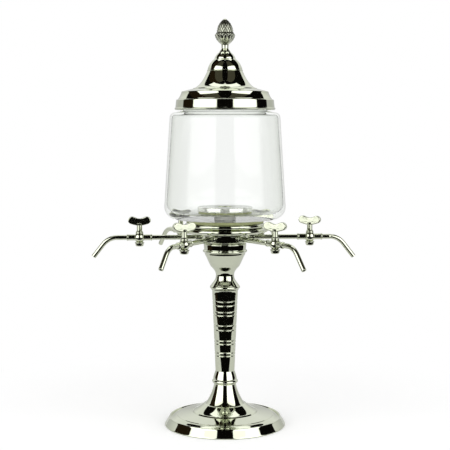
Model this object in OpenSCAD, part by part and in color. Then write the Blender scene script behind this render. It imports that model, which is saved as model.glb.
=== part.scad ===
// Six-tap absinthe fountain: a turned stand, a water hub, a clear glass jar, a bell lid with a
// pine-cone finial, and six plug-cock taps. Origin at the centre of the foot's underside, +Z up.

/* [Foot] */
// Diameter of the foot on the table
foot_d = 164; // [150:1:180]
// Height of the slanted rim band
rim_h = 12; // [9:0.5:15]
// Inward lean of the rim band
rim_lean = 6; // [3:0.5:8]
// Radius of the rim's rounded lip
lip_r = 1.2; // [0.8:0.1:1.6]
// Width of the cove inside the rim
cove_w = 11; // [8:0.5:14]
// Rise of the cove
cove_rise = 2.4; // [1.5:0.1:4]
// Width of the terrace between the two ring lines
terrace_w = 22.4; // [18:0.2:26]
// Rise of the terrace
terrace_rise = 4.8; // [3:0.1:7]
// Width of the dish between the inner ring line and the trumpet
dish_w = 15.6; // [12:0.2:18]
// Rise of the dish
dish_rise = 10.8; // [8:0.2:14]
// Height of the little steps at the ring lines
line_step = 1.2; // [0.4:0.1:1.6]
// Width of the ledge round the trumpet's foot
ledge_w = 2.4; // [1.2:0.1:3.6]
// Fall of the ledge
ledge_fall = 0.5; // [0.2:0.1:1]
// Height of the trumpet
trumpet_h = 26; // [20:0.5:34]
// Diameter of the trumpet's top
trumpet_top_d = 30; // [28:0.5:34]
// Wall of the hollow foot
foot_wall = 3; // [2:0.1:4]
// Thickness of the foot's top under the column
foot_top_t = 7; // [5:0.5:9]

/* [Column] */
// Length of the column
column_h = 129; // [122:0.5:160]
// Diameter of the shaft above its foot moulding
shaft_low_d = 26; // [22:0.2:30]
// Diameter of the shaft at its top
shaft_top_d = 34.6; // [30:0.2:38]
// Diameter of the foot bead
foot_bead_d = 35.2; // [32:0.2:40]
// Radius of the foot bead's section
foot_bead_r = 2.4; // [1.8:0.1:3]
// Height of the foot bead's middle
foot_bead_z = 5; // [3.6:0.2:7]
// Height of the moulding at the column's foot
foot_moulding_h = 18; // [15:0.5:22]
// Height of the flare at the column's head
head_flare_h = 6; // [4:0.5:8]
// How far the head flares out
head_flare = 0.7; // [0:0.1:1.2]
// Heights of the ring pairs above the column's foot
ring_z = [41.7, 58.2, 78.2, 97.4, 111.2]; // [30:0.1:114]
// Spacing of the two grooves of each ring pair
ring_gap = [4.5, 4.6, 6.4, 4.7, 5.8]; // [3:0.1:8]
// Radius of the grooves
ring_groove_r = 0.9; // [0.4:0.1:1.2]

/* [Cup] */
// Height of the cup
cup_h = 63.5; // [58:0.5:75]
// Diameter of the cup's foot bead
cup_bead_d = 40.8; // [38:0.2:46]
// Radius of the foot bead's section
cup_bead_r = 2.4; // [1.8:0.1:3]
// Height of the foot bead's middle
cup_bead_z = 3.6; // [2.8:0.1:5]
// Diameter of the cup's waist
cup_waist_d = 24.6; // [22:0.2:28]
// Height of the waist above the cup's foot
cup_waist_z = 19; // [16:0.5:22]
// Width of the flare under the bowl
cup_flare_w = 6.4; // [5:0.1:8]
// Height of the flare under the bowl
cup_flare_h = 12.4; // [10:0.2:14]
// Diameter of the bowl under its lip
cup_bowl_d = 53.2; // [48:0.2:55]
// Diameter of the band at the cup's top
cup_band_d = 57.6; // [56:0.2:62]
// Height of the band with its bead
cup_band_h = 17; // [14:0.5:20]
// Radius of the band's bead
cup_lip_bead_r = 1.7; // [1.2:0.1:2.2]
// Height of the bead's middle above the bowl
cup_lip_bead_z = 6.3; // [5.4:0.1:8]
// Size of the little steps between the cup's curves
cup_step = 0.6; // [0.3:0.1:0.9]
// Bevel of the cup's upper edge
cup_edge = 1; // [0.5:0.1:1.5]

/* [Tie rod] */
// Diameter of the tie rod
rod_d = 8; // [6:0.5:10]
// Thickness of the washer
tie_washer_t = 1.6; // [1:0.1:2.5]
// Diameter of the washer
tie_washer_d = 17; // [15:0.5:19]
// Height of the hexagon nut
tie_nut_h = 6.5; // [5:0.1:8]
// Width of the nut across its corners
tie_nut_d = 15; // [13:0.5:16]
// Length of thread below the nut
tie_tail = 2; // [1:0.5:4]

/* [Hub] */
// Height of the hub with its flange
hub_h = 21; // [19:0.5:26]
// Diameter of the hub's underside
hub_low_d = 55; // [50:0.5:58]
// Diameter of the bowl at its widest
hub_bowl_d = 67; // [64:0.5:74]
// Diameter of the flange over its bead
flange_d = 109; // [104:0.5:116]
// Radius of the flange's bead
flange_bead_r = 3.2; // [2.4:0.1:3.6]
// Height of the pipes' centre line above the hub's underside
port_z = 8; // [7:0.2:9]
// Diameter of the water chamber
chamber_d = 36; // [32:0.5:40]
// Thickness of the chamber's floor
chamber_floor = 4; // [3:0.1:4.5]
// How far the port bosses stand out of the bowl
boss_proud = 1.5; // [1:0.1:4]
// Diameter of the port bosses
boss_d = 11; // [10:0.2:12]
// Depth of the pipe sockets in the bosses
socket_depth = 8; // [5:0.5:9]
// Length of the boss that takes the tie rod
rod_boss_h = 12; // [8:0.5:16]
// Diameter of the boss that takes the tie rod
rod_boss_d = 18; // [16:0.5:20]
// Metal left above the end of the rod's thread
rod_boss_end = 0.5; // [0.3:0.1:1]

/* [Jar seat] */
// Height of the seat above the hub
seat_h = 10; // [9:0.2:13]
// Height of the groove between the two beads
flange_groove = 0.8; // [0.4:0.1:1.2]
// Radius of the seat's bead
seat_bead_r = 2.8; // [2.2:0.1:3.2]
// How far the seat's bead stands in from the flange's bead
seat_bead_in = 0.8; // [0:0.1:2]
// How far the seat's rim stands in from its bead
seat_inset = 2.6; // [2:0.1:4]
// How far the seat flares out from the bead to its rim
seat_flare = 1.6; // [0.8:0.1:2.4]
// Thickness of the seat's rim
seat_rim_t = 0.8; // [0.6:0.1:1.2]
// Diameter of the standpipe
standpipe_d = 28; // [24:0.5:30]
// Bore of the standpipe
standpipe_bore = 19; // [14:0.5:21]
// Length of the spigot in the hub
spigot_h = 6; // [4:0.5:7]
// Thickness of the two rubber rings
gasket_t = 1.5; // [1:0.1:2.5]
// How far the rubber rings stand in from the metal above or below them
gasket_inset = 1; // [0.5:0.1:2]
// Diameter of the clamp nut
clamp_d = 74; // [60:0.5:80]
// Height of the clamp nut
clamp_h = 7; // [5:0.1:10]
// Bevel of the clamp nut's and the collars' edges
bevel = 0.8; // [0.4:0.1:1.2]

/* [Jar] */
// Height of the jar
jar_h = 168.7; // [160:0.5:190]
// Diameter near the jar's foot
jar_low_d = 163; // [155:0.5:170]
// Diameter under the shoulder
jar_top_d = 148; // [140:0.5:152]
// Radius of the foot corner
jar_corner_r = 17; // [12:0.5:20]
// Height of the neck
neck_h = 25; // [24:0.5:30]
// Outer diameter of the neck
neck_d = 111; // [104:0.5:116]
// Radius of the shoulder's corner
shoulder_r = 7.5; // [6:0.1:10]
// Rise of the shoulder from its corner to the neck
shoulder_rise = 1; // [0.4:0.1:2]
// Width of the curve from the shoulder into the neck
neck_fillet_w = 5; // [3:0.2:7]
// Height of that curve
neck_fillet_h = 3; // [2:0.2:5]
// Wall of the jar
jar_wall = 3.6; // [3:0.1:4.5]
// Thickness of the jar's floor
jar_floor = 8; // [6:0.2:10]
// How far the rolled rim stands out of the neck
rim_roll = 0.8; // [0.4:0.1:1.2]

/* [Lid] */
// Depth of the lid's skirt over the neck
skirt_h = 23; // [20:0.5:24]
// How far the skirt band stands out from the moulding
skirt_out = 8; // [6:0.2:10]
// Height of the skirt band
skirt_band_h = 13.6; // [11:0.2:15]
// Taper of the skirt band
skirt_taper = 1; // [0:0.1:2]
// Radius of the bead on the skirt's lower edge
skirt_bead_r = 1.2; // [0.8:0.1:1.8]
// Radius of the edge above the band and of the moulding's edges
moulding_edge = 1.2; // [0.8:0.1:1.6]
// How far the moulding's foot stands out from its top
moulding_out = 4.2; // [3:0.1:5.4]
// Radius where the bell leaves the shelf
bell_r = 41.5; // [38:0.5:44]
// Rise of the shelf from the moulding to the bell
shelf_rise = 4; // [3:0.1:5]
// Height of the bell's flare
flare_h = 23; // [20:0.5:28]
// Radius at the top of the flare
flare_top_r = 23.6; // [20:0.2:26]
// Width of the bell's foot on the shelf's ledge
bell_foot_w = 4.5; // [3:0.1:6]
// Radius of the fine bead between the flare and the shoulder
bell_bead_r = 0.7; // [0.4:0.1:0.9]
// Height of the bell's shoulder
bell_shoulder_h = 15.6; // [13:0.2:19]
// Radius at the top of the shoulder
shoulder_top_r = 14.8; // [14:0.2:16]
// Depth of the nick between the shoulder and the cap
cap_nick = 0.8; // [0.4:0.1:1.2]
// Height of the cap on the bell
cap_h = 8.4; // [7:0.2:10]
// Radius of the cap's flat top
cap_top_r = 9.2; // [8.6:0.1:10]
// Wall of the lid
lid_wall = 1.4; // [1:0.1:2]
// Thickness of the cap under the finial
cap_t = 2.8; // [2:0.1:4]
// Depth of the centring sleeve
sleeve_h = 14; // [10:0.5:18]

/* [Finial] */
// Radius of the finial's foot flange
finial_flange_r = 8; // [7:0.1:8.4]
// Height of the foot flange's edge
finial_flange_h = 1; // [0.5:0.1:1.5]
// Height at which the flange has drawn in to the neck
finial_flare_h = 6.2; // [5:0.1:7]
// Radius of the neck
finial_neck_r = 5.1; // [4.6:0.1:5.6]
// Height of the flange and neck
finial_neck_h = 9.5; // [8:0.1:12]
// Height of the cone
cone_h = 36; // [32:0.5:42]
// Greatest radius of the cone under its scales
cone_r = 12.2; // [11:0.1:14]
// Radius of the cone's narrower upper half
upper_r = 10; // [9:0.1:11]
// Radius of the cone at its foot
cone_foot_r = 6; // [5.4:0.1:7]
// How far a scale's tip stands out
scale_lift = 1.3; // [0.8:0.1:2]
// Scales in one ring round the cone
scales_round = 12; // [8:1:13]
// Rings of scales up the cone
scale_rows = 8; // [4:1:9]
// Diameter of the finial screw
screw_d = 5; // [4:0.5:6]
// Length of the screw in the finial
screw_reach = 12; // [8:0.5:16]
// Diameter of the screw's head
screw_head_d = 10; // [8:0.5:12]
// Height of the screw's head
screw_head_h = 3; // [2:0.1:4]

/* [Taps] */
// Distance of the plug axes from the middle
tap_r = 115; // [108:0.5:130]
// Diameter of the pipes and spouts
pipe_d = 6.6; // [5.6:0.1:7]
// Bore of the pipes and spouts
pipe_bore = 4; // [3:0.1:4.4]
// Length of the port collars
collar_l = 5; // [4:0.5:7]
// Diameter of the port collars
collar_d = 10; // [9:0.2:11]
// Diameter that the barrel's side bulges towards
barrel_d = 14.4; // [13.4:0.1:15.4]
// Diameter of the barrel's end collars
barrel_end_d = 10.8; // [10.4:0.1:12]
// Height of the barrel's end collars
barrel_end_h = 1; // [0.8:0.1:1.6]
// How far the barrel is waisted at its collars
barrel_nick = 0.3; // [0.2:0.1:0.4]
// Height of the barrel
barrel_h = 12.8; // [12:0.1:15]
// Diameter of the ferrules
ferrule_d = 8; // [7.6:0.1:9]
// Reach of the ferrules from the plug axis
ferrule_reach = 17; // [15:0.5:20]
// Depth of the pipe sockets in the ferrules
ferrule_socket = 8; // [5:0.5:9]
// Height of the bead on the ferrules' ends
ferrule_bead = 0.5; // [0.3:0.1:0.8]
// Diameter of the plug at its top
plug_top_d = 8.8; // [8.4:0.1:9.4]
// Diameter of the plug at its bottom
plug_low_d = 7.2; // [6.8:0.1:8]
// Straight run of the spout past the plug axis
spout_run = 27; // [20:0.5:34]
// How much further each spout runs
spout_extra = [0, 0, 0, 3, 1.5, 0]; // [0:0.5:4]
// Radius of the spout's bend
spout_bend_r = 24; // [18:0.5:30]
// Angle of the spout's bend
spout_bend_a = 52; // [40:1:65]
// Straight end of the spout
spout_tail = 23; // [14:0.5:30]
// How much thinner the pipe is drawn where it bends, on the radius
draw_down = 0.1; // [0.05:0.01:0.2]

/* [Keys] */
// Diameter of the stem
stem_d = 7.2; // [6.6:0.1:8]
// Height of the stem from the barrel to the handle
stem_h = 11.6; // [9:0.2:14]
// Waist of the stem, on the radius
stem_waist = 0.3; // [0:0.1:0.6]
// Diameter of the stem's foot
stem_foot_d = 9.8; // [9.4:0.1:10.8]
// Height of the stem's foot
stem_foot_h = 1.2; // [0.8:0.1:2]
// Height of the cones at both ends of the stem
stem_cone_h = 1.6; // [1:0.1:2.4]
// How far the stem flares under the handle
stem_flare = 0.6; // [0.2:0.1:1]
// Length of the handle over its lobes
handle_l = 30.5; // [26:0.5:36]
// Diameter of the handle's lobes
lobe_d = 10.2; // [8.6:0.1:11]
// Thickness of the lobes between their flat faces
lobe_t = 6.6; // [6.2:0.1:7.4]
// Diameter of the handle's waist
waist_d = 7.2; // [6.4:0.1:7.8]
// Thickness of the waist between its flat faces
waist_t = 5.6; // [5:0.1:5.9]
// Radius of the handle's upward sweep
sweep_r = 36; // [28:1:60]
// Angle of each handle to its arm, at rest
key_turn = [-16, 141, 53, -3, 142, 31]; // [-180:1:180]
// Thickness of the washer under the barrel
key_washer_t = 1; // [0.6:0.1:1.6]
// Diameter of the washer
key_washer_d = 13; // [12.2:0.1:13.6]
// Height of the frustum nut
key_nut_h = 4.4; // [4:0.1:6]
// Upper diameter of the frustum nut
key_nut_d = 12; // [10:0.1:12.4]
// Lower diameter of the frustum nut
key_nut_low_d = 8.2; // [7:0.1:9.4]
// Thickness of the nut's closed end
key_nut_end = 1; // [0.6:0.1:1.6]
// Diameter of the plug's threaded end
key_thread_d = 4; // [3:0.1:5]

/* [Fits] */
// Radial running clearance of a plug in its barrel
plug_fit = 0.05; // [0.03:0.01:0.08]
// Gap between faces that turn on each other
turn_gap = 0.1; // [0.05:0.01:0.2]
// Radial clearance of soldered and screwed joints
joint_fit = 0.05; // [0.02:0.01:0.1]
// Radial clearance of loose holes
loose_fit = 0.5; // [0.3:0.1:0.8]
// Gap between the lid and the jar's rim
lid_gap = 0.3; // [0.2:0.05:0.6]
// Radial gap between the jar's rolled rim and the lid
rim_gap = 0.6; // [0.4:0.1:1]
// Radial gap between the sleeve and the neck
sleeve_gap = 1.2; // [0.6:0.1:2]

/* [Hidden] */
TAPS = [for (i = [1:6]) i];
$fn = 96;

// How far a cutting shape runs past the face that it cuts
past = 1;
// How far shapes that join end to end run into each other
overlap = 0.5;

nickel = "#c9ccb9";
dark_nickel = "#a9ab98";
rubber = "#2b2b29";
steel = "#9a9c9c";
glass = [0.88, 0.95, 0.92, 0.35];

// Heights of the stacked pieces
cove_z = rim_h + cove_rise;
terrace_z = cove_z + terrace_rise;
trumpet_z = terrace_z + dish_rise;
foot_h = trumpet_z + trumpet_h;
tie_seat_z = foot_h - foot_top_t;
cup_z = foot_h + column_h;
hub_z = cup_z + cup_h;
pipe_z = hub_z + port_z;
seat_z = hub_z + hub_h;
gasket_z = seat_z + seat_h;
jar_z = gasket_z + gasket_t;
clamp_gasket_z = jar_z + jar_floor;
clamp_z = clamp_gasket_z + gasket_t;
standpipe_top = clamp_z + clamp_h;
ceiling_z = jar_z + jar_h + lid_gap;
lid_z = ceiling_z - skirt_h;
shelf_z = ceiling_z + lid_wall;
flare_z = shelf_z + shelf_rise;
bell_shoulder_z = flare_z + flare_h;
cap_z = bell_shoulder_z + bell_shoulder_h;
finial_z = cap_z + cap_h;
screw_seat_z = finial_z - cap_t;

// Radii that pieces share
rod_hole_r = rod_d / 2 + loose_fit;
rod_fit_r = rod_d / 2 + joint_fit;
boss_face_r = hub_bowl_d / 2 + boss_proud;
socket_r = pipe_d / 2 + joint_fit;
bead_centre_r = flange_d / 2 - flange_bead_r;
seat_bead_out = flange_d / 2 - seat_bead_in;
seat_r = seat_bead_out - seat_inset;
standpipe_hole_r = standpipe_d / 2 + loose_fit;
neck_r = neck_d / 2;
neck_bore_r = neck_r - jar_wall;
sleeve_r = neck_bore_r - sleeve_gap;
moulding_r = neck_r + rim_roll + rim_gap + lid_wall;
skirt_r = moulding_r + skirt_out;
bell_foot_r = bell_r + bell_foot_w;
screw_hole_r = screw_d / 2 + joint_fit;

// Heights of a tap's pieces above and below its pipe
barrel_top = barrel_h / 2;
stem_z = barrel_top + turn_gap;
handle_z = stem_z + stem_h;
washer_top = -barrel_top - turn_gap;
nut_top = washer_top - key_washer_t;
nut_low = nut_top - key_nut_h;
thread_z = nut_low + key_nut_end;
socket_floor = ferrule_reach - ferrule_socket;

// Points of an arc round (cx, cz) from angle a0 to angle a1
function arc(cx, cz, r, a0, a1, n = 8) =
    [for (i = [0:n]) let (a = a0 + (a1 - a0) * i / n) [cx + r * cos(a), cz + r * sin(a)]];

// Points of a cubic curve from p0 to p3, pulled towards p1 and p2
function curve(p0, p1, p2, p3, n = 10) =
    [for (i = [0:n]) let (t = i / n, s = 1 - t)
        s * s * s * p0 + 3 * s * s * t * p1 + 3 * s * t * t * p2 + t * t * t * p3];

// The same curve with its two pulls given as shares of the way across and up from p0 to p3
function bend(p0, p3, pull0, pull1, n = 10) =
    let (d = p3 - p0)
    curve(p0, p0 + [d[0] * pull0[0], d[1] * pull0[1]], p0 + [d[0] * pull1[0], d[1] * pull1[1]], p3, n);

// A line of points moved to its left by a wall's thickness
function inset(p, wall) =
    [for (i = [0:len(p) - 1])
        let (d = p[min(i + 1, len(p) - 1)] - p[max(i - 1, 0)])
        p[i] + wall / norm(d) * [-d[1], d[0]]];

function reversed(p) = [for (i = [len(p) - 1:-1:0]) p[i]];

// Turns an outline of [radius, height] points about the upright axis
module turned(outline) {
    rotate_extrude() polygon(outline);
}

// Ring of rectangular section
module ring(outer_r, inner_r, h) {
    difference() {
        cylinder(r = outer_r, h = h);
        translate([0, 0, -past]) cylinder(r = inner_r, h = h + 2 * past);
    }
}

// Turns children to the direction of tap i, seen from the middle of the fountain
module towards_tap(i) {
    rotate([0, 0, 360 / len(TAPS) * (i - 1)]) children();
}

// Places children where tap i's pipe meets its plug axis, X pointing away from the hub
module at_tap(i) {
    towards_tap(i) translate([tap_r, 0, pipe_z]) children();
}

// Round bar along X from x0 to x1
module bar(r, x0, x1) {
    translate([x0, 0, 0]) rotate([0, 90, 0]) cylinder(r = r, h = x1 - x0);
}

// Hollow stepped disc that rises to a trumpet; the column stands on its flat top
module base_foot() {
    r = foot_d / 2;
    rim_top_r = r - rim_lean;
    cove_r = rim_top_r - cove_w;
    terrace_r = cove_r - terrace_w;
    trumpet_r = terrace_r - dish_w;
    top_r = trumpet_top_d / 2;
    outside = concat(
        [[r, 0], [r, lip_r]],
        arc(rim_top_r - lip_r, rim_h - lip_r, lip_r, 15, 150, 8),
        bend([rim_top_r - 2.2 * lip_r, rim_h - lip_r], [cove_r + line_step, cove_z - line_step],
             [0.3, 0], [0.7, 0.5]),
        [[cove_r, cove_z], [terrace_r + line_step, terrace_z - line_step]],
        bend([terrace_r, terrace_z], [trumpet_r + ledge_w, trumpet_z - ledge_fall],
             [0.47, 0.18], [0.75, 0.63]),
        bend([trumpet_r, trumpet_z], [top_r, foot_h], [0.46, 0.25], [0.92, 0.69]));
    hollow = [
        [r - foot_wall, 0],
        [rim_top_r - foot_wall, rim_h - foot_wall],
        [terrace_r, terrace_z - 1.4 * foot_wall],
        [trumpet_r - foot_wall, trumpet_z - 1.4 * foot_wall],
        [top_r - foot_wall, tie_seat_z],
        [rod_hole_r, tie_seat_z],
        [rod_hole_r, foot_h]];
    color(nickel) turned(concat(outside, reversed(hollow)));
}

// Tapered shaft with a beaded foot and pairs of turned grooves
module column() {
    head_z = column_h - head_flare_h;
    bead_r = foot_bead_d / 2 - foot_bead_r;
    low_r = shaft_low_d / 2;
    top_r = shaft_top_d / 2;
    bead_top = arc(bead_r, foot_bead_z, foot_bead_r, -90, 65);
    outside = concat(
        [[bead_r, 0]],
        bead_top,
        bend(bead_top[len(bead_top) - 1] + [0, foot_bead_r / 6], [low_r, foot_moulding_h],
             [0.1, 0.4], [0.75, 0.8]),
        bend([top_r, head_z], [top_r + head_flare, column_h], [0, 0.5], [0.2, 0.85], 5));
    function shaft_r(z) = low_r + (top_r - low_r) * (z - foot_moulding_h) / (head_z - foot_moulding_h);
    color(nickel) translate([0, 0, foot_h]) rotate_extrude() difference() {
        polygon(concat(outside, [[rod_hole_r, column_h], [rod_hole_r, 0]]));
        for (k = [0:len(ring_z) - 1], side = [-1, 1])
            let (z = ring_z[k] + side * ring_gap[k] / 2)
                translate([shaft_r(z) + ring_groove_r / 3, z]) circle(r = ring_groove_r);
    }
}

// Waisted cup between the column and the hub, bored for the tie rod and the hub's boss
module cup() {
    bead_r = cup_bead_d / 2 - cup_bead_r;
    waist_r = cup_waist_d / 2;
    bowl_r = cup_bowl_d / 2;
    band_r = cup_band_d / 2;
    band_z = cup_h - cup_band_h;
    lip_z = band_z + cup_lip_bead_z;
    flare = [waist_r + cup_flare_w, cup_waist_z + cup_flare_h];
    lip_r = band_r - cup_lip_bead_r / 3;
    boss_hole_r = rod_boss_d / 2 + loose_fit;
    boss_hole_z = cup_h - rod_boss_h - loose_fit;
    bead = arc(bead_r, cup_bead_z, cup_bead_r, -75, 50);
    outside = concat(
        [[bead_r + cup_bead_r / 4, 0]],
        bead,
        bend(bead[len(bead) - 1] + [-cup_step, cup_step], [waist_r, cup_waist_z], [0.3, 0.3], [0.95, 0.5]),
        bend([waist_r, cup_waist_z + cup_step], flare, [0, 0.44], [0.53, 0.72]),
        bend(flare + [cup_step, cup_step], [bowl_r, band_z], [0.36, 0.3], [0.7, 0.66]),
        bend([bowl_r, band_z], [lip_r, lip_z - cup_lip_bead_r - cup_step / 3], [0.6, 0.35], [1, 0.7], 5),
        arc(lip_r, lip_z, cup_lip_bead_r, -80, 80),
        [[lip_r, lip_z + cup_lip_bead_r + cup_step], [band_r, cup_h - 2 * cup_edge],
         [band_r, cup_h - cup_edge], [band_r - cup_edge, cup_h]]);
    inside = [[boss_hole_r, cup_h], [boss_hole_r, boss_hole_z], [rod_hole_r, boss_hole_z], [rod_hole_r, 0]];
    color(nickel) translate([0, 0, cup_z]) turned(concat(outside, inside));
}

// Rod from the nut inside the foot up into the hub's boss
module tie_rod() {
    low = tie_seat_z - tie_washer_t - tie_nut_h - tie_tail;
    color(steel) translate([0, 0, low]) cylinder(d = rod_d, h = hub_z - 2 * rod_boss_end - low);
}

module tie_washer() {
    color(steel) translate([0, 0, tie_seat_z - tie_washer_t])
        ring(tie_washer_d / 2, rod_fit_r, tie_washer_t);
}

module tie_nut() {
    color(steel) translate([0, 0, tie_seat_z - tie_washer_t - tie_nut_h]) difference() {
        cylinder(d = tie_nut_d, h = tie_nut_h, $fn = 6);
        translate([0, 0, -past]) cylinder(r = rod_fit_r, h = tie_nut_h + 2 * past);
    }
}

// Bowl-shaped manifold: a water chamber, a flange above it and six bored bosses
module hub() {
    bowl_r = hub_bowl_d / 2;
    chamber_r = chamber_d / 2;
    bead_z = hub_h - flange_bead_r;
    outside = concat(
        bend([hub_low_d / 2, 0], [bowl_r, port_z], [0.57, 0.17], [1, 0.5]),
        bend([bowl_r, port_z + 1], [bead_centre_r, bead_z - flange_bead_r], [0, 1], [0.1, 1]),
        arc(bead_centre_r, bead_z, flange_bead_r, -80, 80),
        [[bead_centre_r - flange_groove, hub_h]]);
    inside = [[chamber_r, hub_h], [chamber_r, chamber_floor], [0, chamber_floor], [0, 0]];
    color(nickel) translate([0, 0, hub_z]) difference() {
        union() {
            turned(concat(outside, inside));
            translate([0, 0, -rod_boss_h]) cylinder(d = rod_boss_d, h = rod_boss_h + chamber_floor / 2);
            for (i = TAPS) towards_tap(i) translate([0, 0, port_z])
                bar(boss_d / 2, (chamber_r + bowl_r) / 2, boss_face_r);
        }
        translate([0, 0, -rod_boss_h - past])
            cylinder(r = rod_fit_r, h = rod_boss_h + past - rod_boss_end);
        for (i = TAPS) towards_tap(i) translate([0, 0, port_z]) {
            bar(pipe_bore / 2, chamber_r - 3 * past, boss_face_r - past);
            bar(socket_r, boss_face_r - socket_depth, boss_face_r + past);
        }
    }
}

// Jar seat: a bead, a rim that flares upwards, and the standpipe that passes through the jar's floor
module gallery() {
    bead_r = seat_bead_out - seat_bead_r;
    bead_top = flange_groove + 2 * seat_bead_r;
    standpipe_r = standpipe_d / 2;
    spigot_r = chamber_d / 2 - joint_fit;
    top = standpipe_top - seat_z;
    outside = concat(
        [[bead_r - flange_groove, 0]],
        arc(bead_r, flange_groove + seat_bead_r, seat_bead_r, -80, 90),
        [[seat_r - seat_flare, bead_top], [seat_r, seat_h - seat_rim_t], [seat_r, seat_h]]);
    inside = [
        [standpipe_r, seat_h],
        [standpipe_r, top],
        [standpipe_bore / 2, top],
        [standpipe_bore / 2, -spigot_h],
        [spigot_r, -spigot_h],
        [spigot_r, 0]];
    color(nickel) translate([0, 0, seat_z]) turned(concat(outside, inside));
}

module seat_gasket() {
    color(rubber) translate([0, 0, gasket_z]) ring(seat_r - gasket_inset, standpipe_hole_r, gasket_t);
}

// Blown glass jar: thick floor with a hole, slightly flared body, close shoulder, rolled rim
module glass_jar() {
    low_r = jar_low_d / 2;
    top_r = jar_top_d / 2;
    neck_z = jar_h - neck_h;
    side_z = neck_z - shoulder_rise - shoulder_r;
    corner_r = low_r - jar_corner_r;
    inner_corner = jar_corner_r - jar_wall;
    inner_shoulder = shoulder_r - jar_wall;
    roll_r = jar_wall / 2;
    rim_z = jar_h - roll_r;
    fillet_top = neck_z + neck_fillet_h;
    outside = concat(
        arc(corner_r, jar_corner_r, jar_corner_r, -90, 0, 12),
        arc(top_r - shoulder_r, side_z, shoulder_r, 0, 85, 10),
        bend([neck_r + neck_fillet_w, neck_z], [neck_r, fillet_top], [0.6, 0.1], [1, 0.5], 6),
        [[neck_r, rim_z - 2 * roll_r]],
        arc(neck_r + rim_roll - roll_r, rim_z, roll_r, -50, 90));
    inside = concat(
        [[neck_bore_r + roll_r / 2, jar_h], [neck_bore_r, rim_z]],
        bend([neck_bore_r, fillet_top], [neck_r + neck_fillet_w, side_z + inner_shoulder],
             [0, 0.7], [0.3, 1], 6),
        reversed(arc(top_r - shoulder_r, side_z, inner_shoulder, 0, 85, 6)),
        reversed(arc(corner_r, jar_floor + inner_corner, inner_corner, -90, 0, 10)),
        [[standpipe_hole_r, jar_floor], [standpipe_hole_r, 0]]);
    color(glass) translate([0, 0, jar_z]) turned(concat(outside, inside));
}

module clamp_gasket() {
    color(rubber) translate([0, 0, clamp_gasket_z])
        ring(clamp_d / 2 - gasket_inset, standpipe_hole_r, gasket_t);
}

// Broad round nut on the standpipe that pulls the jar down on its seat
module clamp_nut() {
    r = clamp_d / 2;
    hole_r = standpipe_d / 2 + joint_fit;
    outline = [[hole_r, 0], [r - bevel, 0], [r, bevel], [r, clamp_h - bevel], [r - bevel, clamp_h],
               [hole_r, clamp_h]];
    color(nickel) translate([0, 0, clamp_z]) turned(outline);
}

// Collars against the hub's bosses, one round each arm
module port_collars() {
    r = collar_d / 2;
    outline = [[socket_r, 0], [r, 0], [r, collar_l - bevel], [r - bevel, collar_l], [socket_r, collar_l]];
    for (i = TAPS)
        color(nickel) towards_tap(i) translate([boss_face_r, 0, pipe_z]) rotate([0, 90, 0]) turned(outline);
}

// Pipe from a hub boss to the inner ferrule of its tap
module arm(i) {
    start = boss_face_r - socket_depth - tap_r;
    color(nickel) at_tap(i) difference() {
        bar(pipe_d / 2, start, -socket_floor);
        bar(pipe_bore / 2, start - past, -socket_floor + past);
    }
}

// Rounded barrel with a tapered bore for the plug and a ferrule on each side for the pipes
module tap_body(i) {
    end_r = barrel_end_d / 2;
    bulge_r = barrel_d / 2;
    nick_r = end_r - barrel_nick;
    side = barrel_top - barrel_end_h;
    pipe_r = ferrule_d / 2;
    outline = concat(
        [[0, -barrel_top], [end_r, -barrel_top], [end_r, -side]],
        curve([nick_r, -side], [bulge_r, -side / 2], [bulge_r, side / 2], [nick_r, side], 14),
        [[end_r, side], [end_r, barrel_top], [0, barrel_top]]);
    ferrule = [
        [0, 0],
        [pipe_r, 0],
        [pipe_r, ferrule_reach - 4 * ferrule_bead],
        [pipe_r + ferrule_bead, ferrule_reach - 3 * ferrule_bead],
        [pipe_r + ferrule_bead, ferrule_reach - ferrule_bead],
        [pipe_r, ferrule_reach],
        [0, ferrule_reach]];
    color(nickel) at_tap(i) difference() {
        union() {
            turned(outline);
            for (way = [-1, 1]) rotate([0, way * 90, 0]) turned(ferrule);
        }
        translate([0, 0, -barrel_top]) cylinder(d1 = plug_low_d, d2 = plug_top_d, h = barrel_h);
        bar(pipe_bore / 2, -socket_floor - past, socket_floor + past);
        bar(socket_r, socket_floor, ferrule_reach + past);
        bar(socket_r, -ferrule_reach - past, -socket_floor);
    }
}

// Round bar along the spout's run, bend and tail, with extra length at both ends
module spout_bar(r, run, extra) {
    bent_r = r - draw_down;
    bar(r, socket_floor - extra, run + overlap);
    translate([run, 0, -spout_bend_r]) {
        rotate([90, 0, 0]) rotate([0, 0, 90 - spout_bend_a])
            rotate_extrude(angle = spout_bend_a) translate([spout_bend_r, 0]) circle(r = bent_r);
        rotate([0, spout_bend_a, 0]) translate([0, 0, spout_bend_r]) bar(bent_r, 0, spout_tail + extra);
    }
}

module spout(i) {
    run = spout_run + spout_extra[i - 1];
    color(nickel) at_tap(i) difference() {
        spout_bar(pipe_d / 2, run, 0);
        spout_bar(pipe_bore / 2, run, past);
    }
}

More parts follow.
